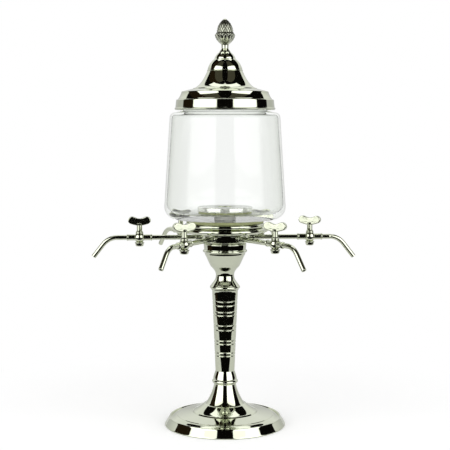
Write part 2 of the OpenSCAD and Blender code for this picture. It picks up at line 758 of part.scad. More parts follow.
// Dog-bone handle on a turned stem and tapered plug with its cross port, at the key's rest angle
module tap_key(i) {
    lobe_x = (handle_l - lobe_d) / 2;
    sweep_a = asin(lobe_x / sweep_r);
    waist_z = handle_z + waist_d / 2;
    lobe_z = waist_z + sweep_r * (1 - cos(sweep_a));
    stem_r = stem_d / 2;
    foot_r = stem_foot_d / 2;
    foot_top = stem_z + stem_foot_h;
    thread_r = key_thread_d / 2;
    plug_low_r = plug_low_d / 2 - plug_fit;
    plug_top_r = plug_top_d / 2 - plug_fit;
    stem_end_r = waist_t / 2 - stem_flare;
    outline = [
        [0, thread_z], [thread_r, thread_z], [thread_r, washer_top],
        [plug_low_r, washer_top], [plug_low_r, -barrel_top], [plug_top_r, barrel_top], [plug_top_r, stem_z],
        [foot_r, stem_z], [foot_r, foot_top], [stem_r, foot_top + stem_cone_h],
        [stem_r - stem_waist, (foot_top + handle_z) / 2], [stem_r, handle_z - stem_cone_h],
        [stem_r + stem_flare, handle_z + stem_flare],
        [stem_end_r, handle_z + waist_d / 3], [0, handle_z + waist_d / 3]];
    color(nickel) at_tap(i) rotate([0, 0, key_turn[i - 1]]) union() {
        difference() {
            turned(outline);
            bar(pipe_bore / 2, -plug_top_d, plug_top_d);
        }
        for (way = [-1, 1]) translate([way * lobe_x, 0, lobe_z]) rotate([90, 0, 0])
            rotate_extrude() intersection() {
                circle(d = lobe_d);
                translate([0, -lobe_t / 2]) square([lobe_d, lobe_t]);
            }
        translate([0, 0, waist_z + sweep_r]) rotate([90, 0, 0]) rotate([0, 0, -90 - sweep_a])
            rotate_extrude(angle = 2 * sweep_a) translate([sweep_r, 0]) intersection() {
                circle(d = waist_d);
                square([2 * waist_d, waist_t], center = true);
            }
    }
}

module key_washer(i) {
    color(dark_nickel) at_tap(i) translate([0, 0, nut_top])
        ring(key_washer_d / 2, key_thread_d / 2 + joint_fit, key_washer_t);
}

// Frustum nut with a blind thread under the barrel
module key_nut(i) {
    color(nickel) at_tap(i) difference() {
        translate([0, 0, nut_low]) cylinder(d1 = key_nut_low_d, d2 = key_nut_d, h = key_nut_h);
        translate([0, 0, thread_z - joint_fit])
            cylinder(r = key_thread_d / 2 + joint_fit, h = key_nut_h);
    }
}

// Height of the shelf's slope at radius r, from the moulding's edge up to the bell's flare
function shelf_top(r) =
    let (edge_r = moulding_r - moulding_edge) shelf_z + shelf_rise * (edge_r - r) / (edge_r - bell_r);

// Spun lid: beaded skirt band, moulding, and a shelf with a ledge for the bell's foot
module lid_shell() {
    band_top = lid_z + skirt_band_h;
    band_r = skirt_r - skirt_taper;
    foot_r = moulding_r + moulding_out;
    ledge_r = bell_foot_r + joint_fit;
    mouth_r = bell_r + lid_wall;
    color(nickel) turned(concat(
        [[skirt_r - lid_wall / 2, lid_z]],
        arc(skirt_r, lid_z + skirt_bead_r, skirt_bead_r, -80, 75, 6),
        [[skirt_r, lid_z + 2.4 * skirt_bead_r]],
        arc(band_r - moulding_edge, band_top - moulding_edge, moulding_edge, 0, 85, 5),
        [[foot_r + moulding_edge / 4, band_top + moulding_edge / 3]],
        bend([foot_r, band_top + moulding_edge], [moulding_r, shelf_z - moulding_edge],
             [0.4, 0.25], [0.85, 0.65]),
        arc(moulding_r - moulding_edge, shelf_z - moulding_edge, moulding_edge, 5, 80, 5),
        [[ledge_r, shelf_top(ledge_r)], [ledge_r, shelf_z], [mouth_r, shelf_z], [mouth_r, ceiling_z],
         [moulding_r - lid_wall, ceiling_z],
         [moulding_r - lid_wall, band_top + lid_wall], [foot_r - lid_wall, band_top - lid_wall],
         [band_r - lid_wall, band_top - moulding_edge - lid_wall], [skirt_r - lid_wall, lid_z]]));
}

// Spun bell, soldered on the shelf's ledge: a foot, a flare, a fine bead, a shoulder, and a cap with a flat
// top for the finial
module lid_bell() {
    flare = bend([bell_r, flare_z], [flare_top_r, bell_shoulder_z], [0.54, 0.22], [0.79, 0.64], 14);
    bead = arc(flare_top_r - bell_bead_r / 2, bell_shoulder_z + bell_bead_r, bell_bead_r, -70, 70, 4);
    top = concat(
        bend([flare_top_r - bell_bead_r / 2, bell_shoulder_z + 2 * bell_bead_r], [shoulder_top_r, cap_z],
             [0.08, 0.4], [0.6, 0.83]),
        bend([shoulder_top_r - cap_nick, cap_z + cap_nick], [cap_top_r, finial_z],
             [0.15, 0.44], [0.62, 0.74], 8));
    inside = [for (p = inset(concat(flare, top), lid_wall))
        if (p[1] < screw_seat_z - screw_head_h / 2 && p[1] > shelf_z + lid_wall) p];
    color(nickel) turned(concat(
        [[bell_foot_r, shelf_z], [bell_foot_r, shelf_top(bell_foot_r)]],
        flare, bead, top,
        [[screw_hole_r, finial_z], [screw_hole_r, screw_seat_z],
         [screw_head_d / 2 + loose_fit, screw_seat_z]],
        reversed(inside),
        [[bell_r - lid_wall, shelf_z]]));
}

// Ring under the lid's shelf that drops into the jar's neck
module lid_sleeve() {
    color(dark_nickel) translate([0, 0, ceiling_z - sleeve_h])
        ring(sleeve_r, sleeve_r - lid_wall, sleeve_h);
}

// Radius of the bare cone at share t of its height: a round bowl below its widest place, a step in, and a
// bullet above
widest = 0.43;
step_l = 0.12;
bullet = 0.5;
function ease(x) = let (s = min(1, max(0, x))) s * s * (3 - 2 * s);
function cone_profile(t) = t < widest
    ? cone_r - (cone_r - cone_foot_r) * pow(1 - t / widest, 2)
    : (cone_r - upper_r) * (1 - ease((t - widest) / step_l))
        + upper_r * pow(1 - pow(max(0, t - bullet) / (1 - bullet), 2.4), 0.75);

// Height of a scale, from its root to its free tip, on a lattice of two crossing spirals
function scale_height(a, t) =
    let (p = scales_round * a / 360 + scale_rows * t / 2, q = scales_round * a / 360 - scale_rows * t / 2)
    (p - floor(p) + 1 - q + floor(q)) / 2;

// Pine cone: rings of points whose radius is the bare cone plus the overlapping scales
module finial() {
    per_scale = 5;
    columns = scales_round * per_scale;
    rows = scale_rows * per_scale;
    bore_top = screw_reach + past;
    neck_line = concat(
        [[finial_flange_r, 0]],
        bend([finial_flange_r, finial_flange_h], [finial_neck_r, finial_flare_h], [0.2, 0.3], [0.7, 0.7], 5));
    first = 0.01;
    last = 0.985;
    rings = concat(
        [[for (c = [1:columns]) [screw_hole_r, bore_top, c]]],
        [[for (c = [1:columns]) [screw_hole_r, 0, c]]],
        [for (p = neck_line) [for (c = [1:columns]) [p[0], p[1], c]]],
        [for (k = [0:rows]) let (t = first + (last - first) * k / rows, grow = min(1, 5 * t, 4 * (1 - t)))
            [for (c = [1:columns])
                let (lift = scale_lift * grow * scale_height((c + 0.5) * 360 / columns, t))
                [cone_profile(t) + lift, finial_neck_h + cone_h * t, c]]]);
    count = len(rings);
    points = concat(
        [for (line = rings, p = line)
            let (a = p[2] * 360 / columns) [p[0] * cos(a), p[0] * sin(a), p[1]]],
        [[0, 0, bore_top], [0, 0, finial_neck_h + cone_h]]);
    bore_end = count * columns;
    tip = bore_end + 1;
    top_ring = (count - 1) * columns;
    faces = concat(
        [for (k = [0:count - 2], c = [0:columns - 1]) let (d = (c + 1) % columns)
            [k * columns + c, (k + 1) * columns + c, (k + 1) * columns + d]],
        [for (k = [0:count - 2], c = [0:columns - 1]) let (d = (c + 1) % columns)
            [k * columns + c, (k + 1) * columns + d, k * columns + d]],
        [for (c = [0:columns - 1]) [bore_end, c, (c + 1) % columns]],
        [for (c = [0:columns - 1]) [tip, top_ring + (c + 1) % columns, top_ring + c]]);
    color(nickel) translate([0, 0, finial_z]) polyhedron(points, faces);
}

// Screw from inside the bell's cap into the finial
module finial_screw() {
    color(steel) {
        translate([0, 0, screw_seat_z - screw_head_h]) cylinder(d = screw_head_d, h = screw_head_h);
        translate([0, 0, screw_seat_z - past])
            cylinder(d = screw_d, h = finial_z + screw_reach - screw_seat_z + past);
    }
}

base_foot();
column();
cup();
tie_rod();
tie_washer();
tie_nut();
hub();
gallery();
seat_gasket();
glass_jar();
clamp_gasket();
clamp_nut();
port_collars();
for (i = TAPS) arm(i);
for (i = TAPS) tap_body(i);
for (i = TAPS) spout(i);
for (i = TAPS) tap_key(i);
for (i = TAPS) key_washer(i);
for (i = TAPS) key_nut(i);
lid_shell();
lid_bell();
lid_sleeve();
finial();
finial_screw();
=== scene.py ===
import math

import bmesh
import bpy
import numpy as np
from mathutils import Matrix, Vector


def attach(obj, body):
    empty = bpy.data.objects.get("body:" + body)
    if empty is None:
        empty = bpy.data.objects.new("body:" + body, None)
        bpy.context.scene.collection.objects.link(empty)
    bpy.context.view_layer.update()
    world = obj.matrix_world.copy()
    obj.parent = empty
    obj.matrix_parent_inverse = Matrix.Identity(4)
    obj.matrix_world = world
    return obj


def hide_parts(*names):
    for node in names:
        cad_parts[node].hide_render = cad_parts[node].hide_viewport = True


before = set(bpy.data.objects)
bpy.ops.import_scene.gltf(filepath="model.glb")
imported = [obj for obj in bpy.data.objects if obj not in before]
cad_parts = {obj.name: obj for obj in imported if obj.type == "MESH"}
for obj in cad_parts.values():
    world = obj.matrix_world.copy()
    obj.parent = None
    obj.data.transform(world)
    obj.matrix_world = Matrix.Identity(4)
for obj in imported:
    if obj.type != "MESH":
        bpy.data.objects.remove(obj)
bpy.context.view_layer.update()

# Foot. A spun brass disc, hollow underneath, that rises in two flat steps to a trumpet. It is nickel-plated
# and buffed to a mirror. The column stands on its flat top, and a nut inside it pulls the whole stand tight.
def arc(cx, cz, r, start, end, n=14):
    """Points of a circle round (cx, cz) from the start angle to the end angle, in degrees."""
    a = np.radians(np.linspace(start, end, n + 1))
    return np.stack([cx + r * np.cos(a), cz + r * np.sin(a)], 1)


def bend(p0, p3, pull0, pull1, n=28):
    """A cubic curve from p0 to p3. Its two pulls are given as shares of the way across and up."""
    p0, p3 = np.array(p0, float), np.array(p3, float)
    p1, p2 = p0 + (p3 - p0) * pull0, p0 + (p3 - p0) * pull1
    t = np.linspace(0, 1, n + 1)[:, None]
    s = 1 - t
    return s**3 * p0 + 3 * s * s * t * p1 + 3 * s * t * t * p2 + t**3 * p3


def eased(outline, radius, step=1.6):
    """Rounds the corners of a closed outline and fills in its long edges.
    A point that turns by more than 0.3 radians, 17 degrees, gives way to a parabola between the points `radius`
    before and after it, at most a third of an edge away. Then each edge longer than `step` is cut into equal
    lengths."""
    p = np.concatenate([np.atleast_2d(np.array(part, float)) for part in outline])
    p = p[np.linalg.norm(p - np.roll(p, 1, 0), axis=1) > 1e-6]
    back, ahead = np.roll(p, 1, 0) - p, np.roll(p, -1, 0) - p
    back_l, ahead_l = np.linalg.norm(back, axis=1), np.linalg.norm(ahead, axis=1)
    back, ahead = back / back_l[:, None], ahead / ahead_l[:, None]
    turn = np.arccos(np.clip(-(back * ahead).sum(1), -1, 1))
    cut = np.minimum(radius, np.minimum(back_l, ahead_l) / 3)[:, None]
    before, corner, after = (p + back * cut)[:, None], p[:, None], (p + ahead * cut)[:, None]
    s = np.linspace(0, 1, 6)[None, :, None]
    rounded = (1 - s)**2 * before + 2 * s * (1 - s) * corner + s * s * after
    smooth = turn < 0.3
    rounded[smooth, 0] = p[smooth]
    keep = np.ones(rounded.shape[:2], bool)
    keep[smooth, 1:] = False
    p = rounded[keep]
    edge = np.roll(p, -1, 0) - p
    count = np.maximum(1, np.ceil(np.linalg.norm(edge, axis=1) / step)).astype(int)
    share = (np.arange(count.sum()) - np.repeat(np.cumsum(count) - count, count)) / np.repeat(count, count)
    return np.repeat(p, count, 0) + np.repeat(edge, count, 0) * share[:, None]


def turned(outline, n=160):
    """A closed outline of (radius, height) carried round the upright axis: (r cos a, r sin a, z)."""
    a = np.linspace(0, 2 * np.pi, n, endpoint=False)
    r, z = outline[:, :1], outline[:, 1:]
    return np.stack([r * np.cos(a), r * np.sin(a), z + 0 * a], 2)


def piece(name, grids, material, body, slot, *nodes):
    """Makes one piece of closed skins and hangs it on its body in place of its CAD nodes.
    Each skin is a grid of points in millimetres whose last row and column join its first ones. Faces that
    close up to nothing, such as those along an axis, are left out."""
    no_area, same_place = 1e-13, 1e-7
    points, faces, start = [], [], 0
    for grid in grids:
        rows, cols = grid.shape[:2]
        i, j = np.meshgrid(np.arange(rows), np.arange(cols), indexing="ij")
        down, right = (i + 1) % rows, (j + 1) % cols
        corners = [i * cols + j, i * cols + right, down * cols + right, down * cols + j]
        faces.append(start + np.stack(corners, 2).reshape(-1, 4))
        points.append(grid.reshape(-1, 3) / 1000)
        start += rows * cols
    points, faces = np.concatenate(points), np.concatenate(faces)
    corner = points[faces]
    area = np.linalg.norm(np.cross(corner[:, 2] - corner[:, 0], corner[:, 3] - corner[:, 1]), axis=1)
    used, faces = np.unique(faces[area > no_area], return_inverse=True)
    points, faces = points[used], faces.reshape(-1, 4)
    mesh = bpy.data.meshes.new(name)
    mesh.vertices.add(len(points))
    mesh.vertices.foreach_set("co", points.ravel())
    mesh.loops.add(faces.size)
    mesh.loops.foreach_set("vertex_index", faces.ravel())
    mesh.polygons.add(len(faces))
    mesh.polygons.foreach_set("loop_start", np.arange(len(faces)) * 4)
    mesh.update(calc_edges=True)
    whole = bmesh.new()
    whole.from_mesh(mesh)
    bmesh.ops.remove_doubles(whole, verts=whole.verts, dist=same_place)
    bmesh.ops.recalc_face_normals(whole, faces=whole.faces)
    whole.to_mesh(mesh)
    whole.free()
    mesh.shade_smooth()
    mesh.materials.append(material)
    thing = bpy.data.objects.new(name, mesh)
    bpy.context.scene.collection.objects.link(thing)
    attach(thing, body)
    if nodes:
        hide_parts(*nodes)
    return thing


def linear(colour):
    """An sRGB hex colour as the linear colour that a shader socket takes."""
    c = np.array([int(colour[i:i + 2], 16) for i in (1, 3, 5)]) / 255
    c = np.where(c <= 0.04045, c / 12.92, ((c + 0.055) / 1.055)**2.4)
    return (*c.tolist(), 1.0)


def feed(tree, node, inputs):
    """Gives each named input of a node a value, or a link from another node's output."""
    for key, value in inputs.items():
        if isinstance(value, bpy.types.NodeSocket):
            tree.links.new(value, node.inputs[key])
        else:
            node.inputs[key].default_value = value


def add(tree, kind, inputs, **settings):
    """Adds a node, sets its properties, and feeds its inputs."""
    node = tree.nodes.new(kind)
    for key, value in settings.items():
        setattr(node, key, value)
    feed(tree, node, inputs)
    return node


def finish_of(name):
    """Starts a material: gives it, its node tree and its shader."""
    finish = bpy.data.materials.new(name)
    finish.use_nodes = True
    return finish, finish.node_tree, finish.node_tree.nodes["Principled BSDF"]


# Bright nickel plate over turned brass: a mirror with a faint straw-green cast. Cloth haze of about 30 mm
# varies its gloss, and polishing lines run round the lathe axis. Real ones are under 0.1 mm apart, and are
# drawn at 0.9 mm so that they show.
turned_nickel, tree, shader = finish_of("bright_nickel_turned")
place = add(tree, "ShaderNodeTexCoord", {}).outputs["Object"]
haze = add(tree, "ShaderNodeTexNoise",
           {"Vector": place, "Scale": 1 / 0.03, "Detail": 4.0, "Roughness": 0.6}).outputs["Fac"]
tone = add(tree, "ShaderNodeMix", {0: haze, 6: linear("#CDD2BC"), 7: linear("#D7DBC9")}, data_type="RGBA")
gloss = add(tree, "ShaderNodeMapRange",
            {"Value": haze, "From Min": 0.3, "From Max": 0.7, "To Min": 0.02, "To Max": 0.045})
flat = add(tree, "ShaderNodeVectorMath", {0: place, 1: (1.0, 1.0, 0.0)}, operation="MULTIPLY").outputs["Vector"]
out = add(tree, "ShaderNodeVectorMath", {0: flat}, operation="LENGTH").outputs["Value"]
up = add(tree, "ShaderNodeSeparateXYZ", {"Vector": place}).outputs["Z"]
section = add(tree, "ShaderNodeCombineXYZ", {"X": out, "Y": up}).outputs["Vector"]
lines = add(tree, "ShaderNodeTexNoise",
            {"Vector": section, "Scale": 1 / 0.0009, "Detail": 2.0}, noise_dimensions="2D").outputs["Fac"]
relief = add(tree, "ShaderNodeBump", {"Height": lines, "Strength": 0.006, "Distance": 0.0003})
feed(tree, shader, {"Metallic": 1.0, "Base Color": tone.outputs[2], "Roughness": gloss.outputs["Result"],
                    "Normal": relief.outputs["Normal"]})

foot = eased([
    [[82, 0], [82, 1.2]],
    arc(74.8, 10.8, 1.2, 15, 170),
    bend((73.5, 10.3), (66, 13.8), (0.25, 0.1), (0.6, 0.72)),
    [[65.4, 13.8], [65, 14.4], [44.4, 17.9], [44, 17.7], [43.8, 18]],
    bend((42.6, 19.2), (28.6, 28.6), (0.36, 0.25), (0.7, 0.64)),
    bend((26.6, 28.9), (15, 56), (0.46, 0.25), (0.92, 0.69)),
    [[4.5, 56], [4.5, 49], [12, 49], [24, 25.8], [42.6, 15], [73, 9], [79, 0]]], 0.35)
piece("foot", [turned(foot, 192)], turned_nickel, "stand", "nickel", "base_foot")

# Column. A brass tube turned to a slow taper, with a bead and hollow at its foot and five pairs of fine
# grooves cut round it. It stands on the foot, and the cup stands on it.
column_z = 56
shaft_foot, shaft_top = 18, 123


def ringed(z):
    """The shaft's radius at height z: a straight taper, less a round groove at each height of `grooves`, whose
    centre lies a little outside the taper."""
    middle, gap = np.array([41.7, 58.2, 78.2, 97.4, 111.2]), np.array([4.5, 4.6, 6.4, 4.7, 5.8])
    groove_r, groove_out = 0.9, 0.3
    grooves = np.concatenate([middle - gap / 2, middle + gap / 2])[:, None]
    taper = 13 + 4.3 * (z - shaft_foot) / (shaft_top - shaft_foot)
    cut = np.sqrt(np.clip(groove_r**2 - (z - grooves)**2, 0, None)).max(0)
    return np.where(cut > groove_out, taper + groove_out - cut, taper)


shaft_z = np.linspace(shaft_foot, shaft_top, 460)
column = eased([
    [[15.2, 0]],
    arc(15.2, 3.6, 2.4, -90, 65),
    bend((16.21, 5.98), (13, 18), (0.1, 0.4), (0.75, 0.8)),
    np.stack([ringed(shaft_z), shaft_z], 1),
    bend((17.3, 123), (18, 129), (0, 0.5), (0.2, 0.85)),
    [[4.5, 129], [4.5, 0]]], 0.25)
piece("column", [turned(column + (0, column_z), 96)], turned_nickel, "stand", "nickel", "column")

# Cup. A turned brass goblet shape between the column and the hub: a bead, a narrow waist, a plain bowl and a
# beaded band. The hub's boss drops into its top.
cup_z = 185
cup = eased([
    [[18.6, 0]],
    arc(18, 3.6, 2.4, -75, 50),
    bend((18.94, 6.04), (12.3, 19), (0.3, 0.3), (0.95, 0.5)),
    bend((12.3, 19.6), (18.7, 31.4), (0, 0.44), (0.53, 0.72)),
    bend((19.3, 32), (27.3, 48.4), (0.37, 0.3), (0.62, 0.68)),
    [[27.6, 50.7]],
    arc(28.23, 52.8, 1.7, -80, 80),
    [[28.23, 55.1], [28.8, 61.5], [28.8, 62.5], [27.8, 63.5]],
    [[9.5, 63.5], [9.5, 51], [4.5, 51], [4.5, 0]]], 0.3)
piece("cup", [turned(cup + (0, cup_z))], turned_nickel, "stand", "nickel", "cup")

# Tie rod, washer and nut, and the finial's screw. Bright zinc-plated steel, out of sight inside the stand and
# the lid. The rod screws into the hub, and the nut draws hub, cup, column and foot together.

# Zinc plate is pale grey and half bright, with a soft spangle of about 4 mm.
zinc_steel, tree, shader = finish_of("zinc_plated_steel")
place = add(tree, "ShaderNodeTexCoord", {}).outputs["Object"]
spangle = add(tree, "ShaderNodeTexNoise", {"Vector": place, "Scale": 1 / 0.004, "Detail": 3.0}).outputs["Fac"]
tone = add(tree, "ShaderNodeMix", {0: spangle, 6: linear("#A9ADAF"), 7: linear("#C6C9C8")}, data_type="RGBA")
gloss = add(tree, "ShaderNodeMapRange", {"Value": spangle, "To Min": 0.22, "To Max": 0.4})
feed(tree, shader, {"Metallic": 1.0, "Base Color": tone.outputs[2], "Roughness": gloss.outputs["Result"]})
for name in ("tie_rod", "tie_washer", "tie_nut", "finial_screw"):
    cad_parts[name].material_slots[0].material = zinc_steel

# Hub. A turned brass bowl with a water chamber inside and a wide flange on top. Six bored bosses stand out of
# its side, one for each pipe, and its own boss below takes the tie rod.
hub_z, pipe_z = 248.5, 256.5
taps = range(1, 7)


def along(outline, n=48):
    """A closed outline of (distance, radius) carried round the X axis: (s, r cos a, r sin a)."""
    a = np.linspace(0, 2 * np.pi, n, endpoint=False)
    s, r = outline[:, :1], outline[:, 1:]
    return np.stack([s + 0 * a, r * np.cos(a), r * np.sin(a)], 2)


def towards_tap(i, grid, turn=0.0, move=(0, 0, pipe_z)):
    """Turns a grid about the upright axis, moves it, by default up to the pipes, and then turns it to the
    direction of tap i."""
    for degrees, shift in ((turn, move), (60 * (i - 1), (0, 0, 0))):
        c, s = math.cos(math.radians(degrees)), math.sin(math.radians(degrees))
        grid = grid @ np.array([[c, s, 0], [-s, c, 0], [0, 0, 1]]) + np.array(shift)
    return grid


hub = eased([
    [[27.5, 0], [28.5, 1.6], [31.6, 2]],
    bend((32.3, 2.6), (33.5, 10.4), (0.35, 0.33), (0.7, 0.67)),
    bend((33.7, 10.8), (51.3, 14.6), (0, 0.9), (0.1, 1)),
    arc(51.3, 17.8, 3.2, -80, 80),
    [[50.5, 21], [18, 21], [18, 4], [0, 4], [0, -0.5], [4.05, -0.5], [4.05, -12], [9, -12], [9, 0]]], 0.3)
boss = eased([[[25, 2], [25, 5.5], [35, 5.5], [35, 3.35], [27, 3.35], [27, 2]]], 0.3)
bosses = [towards_tap(i, along(boss)) for i in taps]
piece("hub", [turned(hub + (0, hub_z))] + bosses, turned_nickel, "stand", "nickel", "hub")

# Jar seat. A second beaded brass flange, screwed down on the hub's, with a low flared seat for the jar and a
# standpipe up its middle that passes through the jar's floor.
seat_z = 269.5
gallery = eased([
    [[50.1, 0]],
    arc(50.9, 3.6, 2.8, -80, 90),
    [[49.5, 6.4], [51.1, 9.2], [51.1, 10], [14, 10]],
    [[14, 28], [9.5, 28], [9.5, -6], [17.95, -6], [17.95, 0]]], 0.25)
piece("jar_seat", [turned(gallery + (0, seat_z))], turned_nickel, "stand", "nickel", "gallery")

# Gaskets. Two moulded rubber rings, one under the jar's floor with a lip over the seat's edge, and one on the
# floor, squeezed when the clamp nut is screwed down, so that the hole in the glass doesn't leak.

# Olive rubber is dull, with the fine grain of its mould, 0.6 mm, and a paler bloom in patches of 8 mm.
gasket_rubber, tree, shader = finish_of("olive_moulded_rubber")
place = add(tree, "ShaderNodeTexCoord", {}).outputs["Object"]
bloom = add(tree, "ShaderNodeTexNoise", {"Vector": place, "Scale": 1 / 0.008, "Detail": 5.0}).outputs["Fac"]
tone = add(tree, "ShaderNodeMix", {0: bloom, 6: linear("#7B8059"), 7: linear("#8B9067")}, data_type="RGBA")
grain = add(tree, "ShaderNodeTexNoise", {"Vector": place, "Scale": 1 / 0.0006}).outputs["Fac"]
relief = add(tree, "ShaderNodeBump", {"Height": grain, "Strength": 0.3, "Distance": 0.0002})
feed(tree, shader, {"Roughness": 0.6, "Specular IOR Level": 0.2, "Base Color": tone.outputs[2],
                    "Normal": relief.outputs["Normal"]})

gasket = eased([
    [[14.6, 10], [14.6, 11.4], [51.5, 11.4], [51.9, 11], [51.9, 10.2], [51.6, 10], [51.9, 9.8]],
    [[51.9, 8.4], [51.6, 8.2], [51.9, 8], [51.9, 6.9], [51.2, 6.8], [51.2, 10]]], 0.12)
piece("seat_gasket", [turned(gasket + (0, seat_z))], gasket_rubber, "stand", "rubber", "seat_gasket")
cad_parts["clamp_gasket"].material_slots[0].material = gasket_rubber

# Bush. A thin moulded nylon sleeve that keeps the standpipe off the edge of the hole. It is a guess from the
# pale middle of the floor in the photo.

# Nylon is milky white and half dull, a little uneven over about 4 mm.
nylon, tree, shader = finish_of("white_moulded_nylon")
place = add(tree, "ShaderNodeTexCoord", {}).outputs["Object"]
cloud = add(tree, "ShaderNodeTexNoise", {"Vector": place, "Scale": 1 / 0.004, "Detail": 3.0}).outputs["Fac"]
tone = add(tree, "ShaderNodeMix", {0: cloud, 6: linear("#E9E8E2"), 7: linear("#F6F5F1")}, data_type="RGBA")
feed(tree, shader, {"Roughness": 0.5, "Base Color": tone.outputs[2]})

bush = eased([[[14.06, 11.5], [14.44, 11.5], [14.44, 19.4], [14.06, 19.4]]], 0.1, 0.8)
piece("floor_bush", [turned(bush + (0, seat_z))], nylon, "stand", "rubber")

# Jar. Clear soda-lime glass, blown into a mould: a thick floor with a drilled hole, slightly flared sides, a
# round shoulder and a straight neck with a fire-polished rim. It stands on the seat's gasket.

# Even, colourless and thin, so that it hardly bends what is behind it. The coat carries the reflections of real
# glass, slow ripples of about 12 mm bend them, and the wall looks greenish grey where it is seen lengthwise.
clear_glass, tree, shader = finish_of("clear_soda_lime_glass")
edge = add(tree, "ShaderNodeLayerWeight", {"Blend": 0.2}).outputs["Facing"]
tint = add(tree, "ShaderNodeMix", {0: edge, 6: linear("#FDFEFD"), 7: linear("#E4E8E0")}, data_type="RGBA")
place = add(tree, "ShaderNodeTexCoord", {}).outputs["Object"]
drawn = add(tree, "ShaderNodeMapping", {"Vector": place, "Scale": (1.0, 1.0, 0.2)}).outputs["Vector"]
ripple = add(tree, "ShaderNodeTexNoise", {"Vector": drawn, "Scale": 1 / 0.012, "Detail": 1.0}).outputs["Fac"]
relief = add(tree, "ShaderNodeBump", {"Height": ripple, "Strength": 0.06, "Distance": 0.0008})
feed(tree, shader, {"Roughness": 0.0, "IOR": 1.01, "Transmission Weight": 1.0, "Base Color": tint.outputs[2],
                    "Coat Weight": 0.75, "Coat Roughness": 0.0, "Coat IOR": 1.33,
                    "Coat Normal": relief.outputs["Normal"]})

jar_z = 281
wall = eased([
    arc(64.5, 17, 17, -90, 0, 30),
    arc(66.5, 135.2, 7.5, 0, 85, 20),
    bend((60.5, 143.7), (55.5, 146.7), (0.6, 0.1), (1, 0.5)),
    [[55.5, 163.3]],
    arc(54.5, 166.9, 1.8, -50, 90),
    [[52.8, 168.7], [51.9, 166.9]],
    bend((51.9, 146.7), (60.5, 139.1), (0, 0.7), (0.3, 1)),
    arc(66.5, 135.2, 3.9, 85, 0),
    arc(64.5, 21.4, 13.4, 0, -90, 24),
    [[14.5, 8], [14.5, 0]]], 0.5, 2.0)
jar = piece("jar", [turned(wall + (0, jar_z), 192)], clear_glass, "stand", "glass", "glass_jar")
# Light passes through clear glass on its way to the seat and the clamp nut.
jar.visible_shadow = False

# Clamp nut. A broad round brass nut, turned and plated, on the standpipe inside the jar. Screwed down on its
# gasket, it holds the jar on the seat.

# The plate under water is dulled by a thin white film of scale, patchy over about 10 mm.
scaled_nickel, tree, shader = finish_of("bright_nickel_water_scaled")
place = add(tree, "ShaderNodeTexCoord", {}).outputs["Object"]
film = add(tree, "ShaderNodeTexNoise", {"Vector": place, "Scale": 1 / 0.01, "Detail": 4.0}).outputs["Fac"]
tone = add(tree, "ShaderNodeMix", {0: film, 6: linear("#D9DCD2"), 7: linear("#E6E8E2")}, data_type="RGBA")
bare = add(tree, "ShaderNodeMapRange", {"Value": film, "To Min": 0.85, "To Max": 0.6})
feed(tree, shader, {"Roughness": 0.06, "Base Color": tone.outputs[2], "Metallic": bare.outputs["Result"]})

clamp_z = 290.5
clamp = eased([[[14.05, 0], [36.2, 0], [37, 0.8], [37, 6.2], [36.2, 7], [14.05, 7]]], 0.35)
piece("clamp_nut", [turned(clamp + (0, clamp_z))], scaled_nickel, "stand", "nickel", "clamp_nut")

# Arms and collars. Six straight drawn brass tubes, soldered into the hub's bosses and the taps' ferrules,
# each with a small collar pushed against its boss.

# The same bright plate on drawn and cast brass, with no lathe lines: soft buffing waves of about 6 mm.
buffed_nickel, tree, shader = finish_of("bright_nickel_buffed")
place = add(tree, "ShaderNodeTexCoord", {}).outputs["Object"]
haze = add(tree, "ShaderNodeTexNoise",
           {"Vector": place, "Scale": 1 / 0.012, "Detail": 4.0, "Roughness": 0.6}).outputs["Fac"]
tone = add(tree, "ShaderNodeMix", {0: haze, 6: linear("#CBD0B9"), 7: linear("#D6DAC6")}, data_type="RGBA")
gloss = add(tree, "ShaderNodeMapRange",
            {"Value": haze, "From Min": 0.3, "From Max": 0.7, "To Min": 0.04, "To Max": 0.09})
wave = add(tree, "ShaderNodeTexNoise", {"Vector": place, "Scale": 1 / 0.006, "Detail": 1.0}).outputs["Fac"]
relief = add(tree, "ShaderNodeBump", {"Height": wave, "Strength": 0.06, "Distance": 0.0004})
feed(tree, shader, {"Metallic": 1.0, "Base Color": tone.outputs[2], "Roughness": gloss.outputs["Result"],
                    "Normal": relief.outputs["Normal"]})

collar = eased([[[35, 3.35], [35, 5], [39.2, 5], [40, 4.2], [40, 3.35]]], 0.3)
collars = [towards_tap(i, along(collar)) for i in taps]
piece("port_collars", collars, buffed_nickel, "stand", "nickel", "port_collars")
tube = eased([[[27, 2], [27, 3.3], [106, 3.3], [106, 2]]], 0.2, 4.0)
for i in taps:
    piece(f"arm_{i}", [towards_tap(i, along(tube))], buffed_nickel, "stand", "nickel", f"arm_{i}")

# Tap bodies. Round cast brass barrels with a short ferrule on each side, bored on a taper for the plug and
# bored across for the water, and buffed before plating.
tap_place = (115, 0, pipe_z)
barrel = eased([
    [[4.4, -6.4], [4.9, -5.4]],
    arc(0, 0, 7.2, -46, 44, 24),
    [[5, 5.3], [5.2, 5.6], [5.2, 6.4], [4.4, 6.4], [3.6, -6.4]]], 0.15, 0.8)
ferrule = eased([
    [[4.5, 2], [4.5, 4], [15, 4], [15.5, 4.5], [16.5, 4.5], [17, 4], [17, 3.35], [9, 3.35], [9, 2]]], 0.3)
for i in taps:
    skins = [turned(barrel, 64), along(ferrule), along(ferrule * (-1, 1))]
    skins = [towards_tap(i, skin, move=tap_place) for skin in skins]
    piece(f"tap_body_{i}", skins, buffed_nickel, "stand", "nickel", f"tap_body_{i}")

# Spouts. Drawn brass tube bent down over a former, cut square and deburred, and soldered into the outer
# ferrules. They were bent by hand, so two of them run a little further and three have shorter tails.
bend_r, bend_angle = 24, math.radians(52)
runs, tails = (27, 27, 27, 30, 28.5, 27), (23, 23, 19, 20.8, 20, 23)


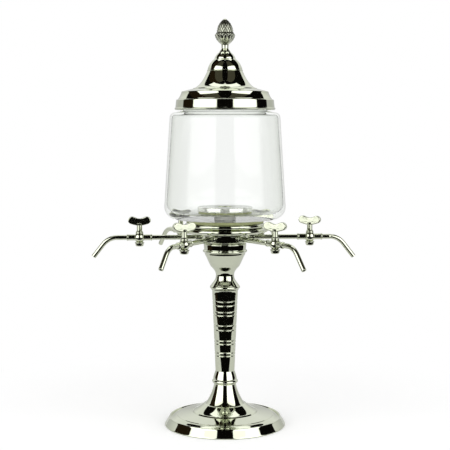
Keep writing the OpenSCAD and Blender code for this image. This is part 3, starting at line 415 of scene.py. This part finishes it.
def spout_path(outline, run, n=48):
    """A closed outline of (distance, radius) carried along a straight run, an arc and a straight tail: the
    centre line's point plus r cos a across and r sin a along its normal."""
    s, r = outline[:, :1], outline[:, 1:]
    bent = np.clip((s - run) / bend_r, 0, bend_angle)
    tail = np.clip(s - run - bend_r * bend_angle, 0, None)
    x = np.minimum(s, run) + bend_r * np.sin(bent) + tail * np.cos(bent)
    z = -bend_r * (1 - np.cos(bent)) - tail * np.sin(bent)
    a = np.linspace(0, 2 * np.pi, n, endpoint=False)
    across, normal = r * np.cos(a), r * np.sin(a)
    return np.stack([x + normal * np.sin(bent), across, z + normal * np.cos(bent)], 2)


for i, run, tail in zip(taps, runs, tails):
    end, drawn_from = run + bend_r * bend_angle + tail, run + 0.6
    spout = eased([
        [[9, 2], [9, 3.3], [run, 3.3], [drawn_from, 3.2], [end, 3.2]],
        [[end, 1.9], [drawn_from, 1.9], [run, 2]]], 0.3, 1.2)
    skin = towards_tap(i, spout_path(spout, run), move=tap_place)
    piece(f"spout_{i}", [skin], buffed_nickel, "stand", "nickel", f"spout_{i}")

# Keys. Each is cast in one: a tapered plug with a cross port, a turned stem and a dog-bone handle with flat
# polished faces. The plug turns in its barrel, and a washer and a cone nut hold it from below.
handle_z = 21.7
rest_turn = (-24, 141, 53, -3, 142, 31)


def dog_bone(n=120, edge=1.0):
    """The handle, a flat dog bone bent along an arc. Its outline stands further below the middle line than above
    it at the waist, and runs by a cosine to round lobes. The rows go from the middle of one face out to the
    outline drawn in by `edge`, round the edge as a quarter circle, across to the other face, and in again."""
    lobe, reach, waist_above, waist_below, arch, half_thick = 5.2, 10.0, 3.8, 5.8, 36, 3.2
    u = np.linspace(0, 2 * np.pi, n, endpoint=False)
    waist = np.where(np.sin(u) > 0, waist_above, waist_below)
    x = (reach + lobe) * np.sign(np.cos(u)) * (1 - (1 - np.abs(np.cos(u)))**1.3)
    past = np.clip(np.abs(x) - reach, 0, lobe)
    swell = 0.5 - 0.5 * np.cos(np.pi * np.clip(np.abs(x) / reach, 0, 1))
    z = np.sign(np.sin(u)) * np.where(past > 0, np.sqrt(lobe**2 - past**2), waist + (lobe - waist) * swell)
    z[np.abs(np.sin(u)) < 1e-9] = 0
    out = np.stack([np.roll(z, -1) - np.roll(z, 1), np.roll(x, 1) - np.roll(x, -1)], 1)
    out /= np.linalg.norm(out, axis=1)[:, None]
    quarter = np.linspace(0, np.pi / 2, 7)
    rise, fall = 1 - np.cos(quarter), 1 - np.sin(quarter)
    spread = np.concatenate([[0, 0.4, 0.8, 0.97], np.ones(14), [0.97, 0.8, 0.4, 0]])[:, None]
    inset = np.concatenate([[edge] * 4, edge * fall, edge * rise, [edge] * 4])[:, None]
    side = np.concatenate([[-1] * 4, -1 + edge / half_thick * rise, 1 - edge / half_thick * fall, [1] * 4])
    x, z = (x - inset * out[:, 0]) * spread, (z - inset * out[:, 1]) * spread
    thick = 2.8 + 0.5 * np.clip(np.abs(x) / reach, 0, 1)**2
    bent_x, bent_z = (arch - z) * np.sin(x / arch), arch - (arch - z) * np.cos(x / arch)
    return np.stack([bent_x, side[:, None] * thick, bent_z], 2)


stem = eased([
    [[0, -10.9], [2, -10.9], [2, -6.5], [3.55, -6.5], [3.55, -6.4], [4.35, 6.4], [4.35, 6.5]],
    [[4.9, 6.5], [4.9, 7.7], [3.6, 9.3]],
    bend((3.6, 9.3), (3.6, 16.5), (0, 0), (0, 1))[1:-1],
    [[3.6, 16.5], [4.2, 18.7], [2.2, 20.3], [0, 20.3]]], 0.3, 0.8)
for i, turn in zip(taps, rest_turn):
    skins = [turned(stem, 64), dog_bone() + (0, 0, handle_z)]
    skins = [towards_tap(i, skin, turn, tap_place) for skin in skins]
    piece(f"tap_key_{i}", skins, buffed_nickel, f"key_{i}", "nickel", f"tap_key_{i}")

washer = eased([[[2.05, -7.5], [6.5, -7.5], [6.5, -6.5], [2.05, -6.5]]], 0.3, 0.6)
nut = eased([
    [[0, -11.9], [4.2, -11.9], [5.2, -11.1], [6, -7.5], [2.05, -7.5], [2.05, -10.95], [0, -10.95]]], 0.4, 0.8)
for i in taps:
    for name, outline, slot in ((f"key_washer_{i}", washer, "satin_nickel"), (f"key_nut_{i}", nut, "nickel")):
        skin = towards_tap(i, turned(outline, 64), move=tap_place)
        piece(name, [skin], buffed_nickel, f"key_{i}", slot, name)

# Lid. Spun brass, nickel-plated and buffed: a beaded skirt that drops over the jar's neck, a hollow moulding
# and a sloping shelf. The sleeve soldered inside it keeps it centred in the neck.
lid_z = 427
skirt = eased([
    [[65.6, 0], [66.5, 0]],
    arc(66.25, 1.7, 1.15, -6, 75),
    [[66.3, 2.88]],
    arc(64.1, 12.4, 1.2, 0, 85),
    [[62.8, 14]],
    bend((62.5, 14.8), (58.3, 23.2), (0.4, 0.25), (0.85, 0.65)),
    arc(57.1, 23.2, 1.2, 5, 80),
    [[46.05, 27.23], [46.05, 24.4], [42.9, 24.4], [42.9, 23]],
    [[56.9, 23], [56.9, 15], [61.1, 12.2], [63.9, 11], [64.9, 0]]], 0.3)
piece("lid_skirt", [turned(skirt + (0, lid_z), 192)], turned_nickel, "lid", "nickel", "lid_shell")
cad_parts["lid_sleeve"].material_slots[0].material = turned_nickel

# Bell. Spun like the skirt and soldered on the ledge of its shelf: a wide flare, a fine bead, a round shoulder
# and a small cap with a flat top for the finial.
bell = eased([
    [[46, 24.4], [46, 27.24]],
    arc(42, 28.3, 0.65, -15, 165, 10),
    bend((41.2, 28.6), (23.6, 51.4), (0.54, 0.22), (0.79, 0.64), 50),
    arc(23.25, 52.1, 0.7, -70, 70, 8),
    bend((23.25, 52.8), (14.8, 67), (0.08, 0.4), (0.6, 0.83)),
    bend((14, 67.8), (9.2, 75.4), (0.15, 0.44), (0.62, 0.74)),
    [[2.55, 75.4], [2.55, 72.6], [5.5, 72.6], [7.4, 71]],
    bend((12.6, 66.4), (21.9, 52.6), (0.4, 0.17), (0.92, 0.6)),
    bend((22.3, 51), (40.8, 27.2), (0.21, 0.36), (0.46, 0.78)),
    [[40.1, 24.4]]], 0.3)
piece("lid_bell", [turned(bell + (0, lid_z), 192)], turned_nickel, "lid", "nickel", "lid_bell")

# Finial. A cast brass pine cone on a turned neck, plated with the rest; the scales point upwards, and dark
# polish stays in the clefts between them, with painted shade added in the clefts and towards the top of the
# cone. A screw through the bell's cap holds it.
finial_z, cone_foot, cone_h = 502.4, 11.8, 33.7
scales_round, scale_rows = 16, 11


def scale_place(a, t):
    """Place within a scale, for share a of the way round and share t up the cone: two families of spirals, as
    many as there are scales in a ring, cross to make the rows. The first result runs from 0 at a scale's foot to
    1 at its tip, the second from -1 to 1 across it."""
    p, q = scales_round * a + scale_rows / 2 * t, scales_round * a - scale_rows / 2 * t
    return (p % 1 + 1 - q % 1) / 2, p % 1 - 1 + q % 1


def cone_radius(a, t):
    """The bare cone is a bowl from its foot to its widest place, then steps in smoothly, and ends in a bullet's
    curve from 0.4 up. Each scale stands out more towards its tip and less at its sides; the lower bowl is
    nearly smooth."""
    foot_r, widest_r, upper_r, widest, lift = 5.8, 12.3, 10, 0.36, 1.3
    bowl = widest_r - (widest_r - foot_r) * np.clip(1 - t / widest, 0, 1)**2.2
    step = np.clip((t - widest) / 0.11, 0, 1)
    bullet = upper_r * np.clip(1 - np.clip((t - 0.4) / 0.6, 0, 1)**2.2, 0, 1)**0.8
    upper = bullet + (widest_r - upper_r) * (1 - step * step * (3 - 2 * step))
    up, across = scale_place(a, t)
    room = np.clip(np.minimum(3.5 * t, 4 * (1 - t)), 0, 1)
    return np.where(t < widest, bowl, upper) + lift * room * up**1.2 * (1 - 0.7 * across**2)


# The plate on the casting is a little rougher than on turned work, and brown-black in the clefts: partly
# polish left there, partly painted shade.
cast_nickel, tree, shader = finish_of("bright_nickel_cast")
polish_and_shade = add(tree, "ShaderNodeAttribute", {}, attribute_name="polish_and_shade").outputs["Fac"]
tone = add(tree, "ShaderNodeMix", {0: polish_and_shade, 6: linear("#D4D8C5"), 7: linear("#3A382E")}, data_type="RGBA")
gloss = add(tree, "ShaderNodeMapRange", {"Value": polish_and_shade, "To Min": 0.1, "To Max": 0.4})
feed(tree, shader, {"Metallic": 1.0, "Base Color": tone.outputs[2], "Roughness": gloss.outputs["Result"]})

a = np.linspace(0, 1, 288, endpoint=False)[None, :]
t = np.linspace(0.01, 0.997, 250)[:, None]
neck = np.concatenate([
    [[2.55, 13], [2.55, 0.1], [2.6, 0], [7.9, 0], [8, 0.1], [8, 0.9]],
    bend((7.9, 1), (4.7, 5.8), (0.2, 0.3), (0.75, 0.7)),
    bend((4.7, 6), (5.7, 11.7), (0, 0.6), (0.1, 0.95))])
r = np.concatenate([0 * a, neck[:, :1] + 0 * a, cone_radius(a, t), 0 * a])
z = np.concatenate([[[13]], neck[:, 1:], cone_foot + cone_h * t, [[cone_foot + cone_h]]]) + 0 * a
skin = np.stack([r * np.cos(2 * np.pi * a), r * np.sin(2 * np.pi * a), z + finial_z], 2)
finial = piece("finial", [skin], cast_nickel, "lid", "nickel", "finial")

# The clefts are darkest at the foot and sides of each scale, where one scale shades the next, and the cone is
# darker towards its top: polish left in the clefts, and painted shade. The foot of the bowl, the neck and the
# screw hole stay bright.
place = np.empty(3 * len(finial.data.vertices))
finial.data.vertices.foreach_get("co", place)
x, y, z = 1000 * place.reshape(-1, 3).T
t = (z - finial_z - cone_foot) / cone_h
up, across = scale_place(np.arctan2(y, x) / (2 * np.pi), t)
dark = np.clip(2.5 * t, 0, 1) * (1.2 - 1.5 * up * (1 - 0.6 * across**2)) + 1.6 * np.clip(t - 0.55, 0, 1)
dark = np.where((t > 0.01) & (np.hypot(x, y) > 2.6), np.clip(dark, 0, 1), 0)
finial.data.attributes.new("polish_and_shade", "FLOAT", "POINT").data.foreach_set("value", dark)

# Stage. A pale table and a white surround, two broad softboxes in front to the left and right, and dark cloth
# in the gaps between them. Only reflections show the cloth.
camera_yaw = 3.5


def facing(az, el):
    """Direction from the fountain at an azimuth to the right of the camera's and an elevation, in degrees."""
    az, el = np.radians(az - camera_yaw), np.radians(el)
    return np.stack([np.sin(az) * np.cos(el), -np.cos(az) * np.cos(el), np.sin(el)], -1)


def sheet_of(name, grid, material):
    """A flat or domed sheet of the studio: an open grid of points in metres."""
    n, m = grid.shape[:2]
    i, j = np.meshgrid(np.arange(n - 1), np.arange(m - 1), indexing="ij")
    faces = np.stack([i * m + j, i * m + j + 1, (i + 1) * m + j + 1, (i + 1) * m + j], 2).reshape(-1, 4)
    mesh = bpy.data.meshes.new(name)
    mesh.from_pydata(grid.reshape(-1, 3).tolist(), [], faces.tolist())
    mesh.materials.append(material)
    sheet = bpy.data.objects.new(name, mesh)
    bpy.context.scene.collection.objects.link(sheet)
    return sheet


# White paper on the table. The camera, directly or through glass, sees it lit near the fountain, with its
# shadow and a little lift, and plain white further off, so that no horizon shows.
table_paper, tree, shader = finish_of("white_table_paper")
tree.nodes.remove(shader)
rays = add(tree, "ShaderNodeLightPath", {}).outputs
unseen = add(tree, "ShaderNodeMath", {0: rays["Is Diffuse Ray"], 1: rays["Glossy Depth"]}, operation="ADD")
seen = add(tree, "ShaderNodeMath", {0: 1.0, 1: unseen.outputs["Value"]}, operation="SUBTRACT",
           use_clamp=True).outputs["Value"]
place = add(tree, "ShaderNodeTexCoord", {}).outputs["Object"]
out = add(tree, "ShaderNodeVectorMath", {0: place}, operation="LENGTH").outputs["Value"]
far = add(tree, "ShaderNodeMapRange", {"Value": out, "From Min": 0.16, "From Max": 0.5},
          interpolation_type="SMOOTHSTEP").outputs["Result"]
plain = add(tree, "ShaderNodeMath", {0: seen, 1: far}, operation="MULTIPLY").outputs["Value"]
lift = add(tree, "ShaderNodeMath", {0: seen, 1: 0.17}, operation="MULTIPLY").outputs["Value"]
paper = add(tree, "ShaderNodeBsdfDiffuse", {"Color": (0.9, 0.9, 0.9, 1.0)}).outputs["BSDF"]
glow = add(tree, "ShaderNodeEmission", {"Strength": lift}).outputs["Emission"]
near = add(tree, "ShaderNodeAddShader", {0: paper, 1: glow}).outputs["Shader"]
white = add(tree, "ShaderNodeEmission", {}).outputs["Emission"]
both = add(tree, "ShaderNodeMixShader", {0: plain, 1: near, 2: white}).outputs["Shader"]
feed(tree, tree.nodes["Material Output"], {"Surface": both})
x, y = np.meshgrid(np.linspace(-8, 8, 3), np.linspace(-8, 8, 3))
sheet_of("table", np.stack([x, y, 0 * x - 0.0002], 2), table_paper)

# Cloth round the fountain, black in front, above and at the sides, dark grey over the softboxes and brown on
# the left, with white silk high up behind. Rays that have not met polished metal or glass yet pass through it.
def cloth_of(name, colour, strength=1.0):
    """A dull cloth that only a reflection shows: clear until the ray's glossy depth is 1."""
    cloth, tree, shader = finish_of(name)
    feed(tree, shader, {"Base Color": linear("#000000"), "Specular IOR Level": 0.0,
                        "Emission Color": linear(colour), "Emission Strength": strength})
    depth = add(tree, "ShaderNodeLightPath", {}).outputs["Glossy Depth"]
    clear = add(tree, "ShaderNodeBsdfTransparent", {}).outputs["BSDF"]
    both = add(tree, "ShaderNodeMixShader", {0: depth, 1: clear, 2: shader.outputs["BSDF"]}).outputs["Shader"]
    feed(tree, tree.nodes["Material Output"], {"Surface": both})
    return cloth


black_cloth, grey_cloth = cloth_of("black_cloth", "#0A0907"), cloth_of("grey_cloth", "#4A473C")
brown_cloth, white_silk = cloth_of("brown_cloth", "#241B10"), cloth_of("white_silk", "#FFFFFF", 1.5)

# Each cloth of the dome from its left to its right azimuth, and up from its foot, left and right, to its top.
dome_r = 5.0
dome = (
    ("cloth_front", black_cloth, -22, 22, -2, -2, 76),
    ("cloth_left", brown_cloth, -114, -76, -2, -2, 76),
    ("cloth_right", black_cloth, 76, 114, -2, -2, 76),
    ("cloth_back_left", black_cloth, -150, -114, 46, 26, 76),
    ("cloth_back_right", black_cloth, 114, 150, 26, 46, 76),
    ("cloth_above", black_cloth, -150, 150, 76, 76, 88),
    ("cloth_over_left", grey_cloth, -76, -22, 42, 42, 76),
    ("cloth_over_right", grey_cloth, 22, 76, 42, 42, 76))
side, rise = np.meshgrid(np.linspace(0, 1, 24), np.linspace(0, 1, 16))
cloths = []
for name, cloth, left, right, foot_left, foot_right, top in dome:
    low = foot_left + (foot_right - foot_left) * side
    grid = dome_r * facing(left + (right - left) * side, low + (top - low) * rise)
    cloths.append(sheet_of(name, grid, cloth))
x, y = np.meshgrid(np.linspace(-1.02, 1.02, 2), np.linspace(0.25, 1.18, 2))
cloths.append(sheet_of("softbox_above", np.stack([x, y, 0 * x + 2.48], 2), white_silk))

# The cloths on the table lie a little above the paper: one in front, and one slanting away on each side.
cloth_z, cloth_edge = 0.0004, -0.188
y, s = np.meshgrid(np.linspace(cloth_edge, 0.6, 2), np.linspace(0, 1, 2))
x = 0.635 + 0.85 * y + 3 * s
cloths.append(sheet_of("cloth_table_right", np.stack([x, y, 0 * x + cloth_z], 2), black_cloth))
cloths.append(sheet_of("cloth_table_left", np.stack([-x, y, 0 * x + cloth_z], 2), brown_cloth))
x, y = np.meshgrid(np.linspace(-4, 4, 2), np.linspace(-5, cloth_edge, 2))
cloths.append(sheet_of("cloth_table_front", np.stack([x, y, 0 * x + cloth_z], 2), black_cloth))
for cloth in cloths:
    cloth.visible_camera = cloth.visible_diffuse = cloth.visible_shadow = False

# The two softboxes stand on the table's level, two metres off, and give each square metre the same power.
lamp_way, lamp_power = 2.0, 1.5 * math.pi
for name, az in (("softbox_left", -48.5), ("softbox_right", 48.5)):
    lamp = bpy.data.lights.new(name, "AREA")
    lamp.shape = "RECTANGLE"
    lamp.size, lamp.size_y = 2.31, 2.4
    lamp.energy = lamp_power * lamp.size * lamp.size_y
    box = bpy.data.objects.new(name, lamp)
    box.location = lamp_way * facing(az, 0) + np.array([0, 0, lamp.size_y / 2])
    box.rotation_euler = Vector(-facing(az, 0)).to_track_quat("-Z", "Y").to_euler()
    box.visible_camera = False
    bpy.context.scene.collection.objects.link(box)

# The surround is white to the camera and through glass. A mirror sees it a little grey at the horizon, and dull
# surfaces get two thirds of its light.
world = bpy.data.worlds.new("white_surround")
world.use_nodes = True
tree = world.node_tree
rays = add(tree, "ShaderNodeLightPath", {}).outputs
mirrored = add(tree, "ShaderNodeMath", {0: rays["Glossy Depth"], 1: 1.0}, operation="MINIMUM").outputs["Value"]
way = add(tree, "ShaderNodeTexCoord", {}).outputs["Generated"]
up = add(tree, "ShaderNodeSeparateXYZ", {"Vector": way}).outputs["Z"]
grey = add(tree, "ShaderNodeMapRange",
           {"Value": up, "From Min": 0.1, "From Max": 0.4, "To Min": -0.4, "To Max": -0.05}).outputs["Result"]
held = add(tree, "ShaderNodeMath", {0: mirrored, 1: grey, 2: 1.0}, operation="MULTIPLY_ADD").outputs["Value"]
lit = add(tree, "ShaderNodeMath", {0: rays["Is Diffuse Ray"], 1: -0.35, 2: held}, operation="MULTIPLY_ADD")
feed(tree, tree.nodes["Background"], {"Strength": lit.outputs["Value"], "Color": (1.0, 1.0, 1.0, 1.0)})
bpy.context.scene.world = world

# Camera. A little above the jar's middle and a metre and a half away, tipped 5 degrees down, with a long lens.
lens = bpy.data.cameras.new("camera")
lens.sensor_width = 36.0
photo_px, focal_px = 450, 1131
lens.lens = lens.sensor_width * focal_px / photo_px
camera = bpy.data.objects.new("camera", lens)
camera.location = 1.519 * facing(0, 0) + np.array([0, 0, 0.4055])
camera.rotation_euler = (math.radians(85), 0, math.radians(-camera_yaw))
bpy.context.scene.collection.objects.link(camera)
bpy.context.scene.camera = camera
bpy.context.scene.view_settings.view_transform = "Standard"
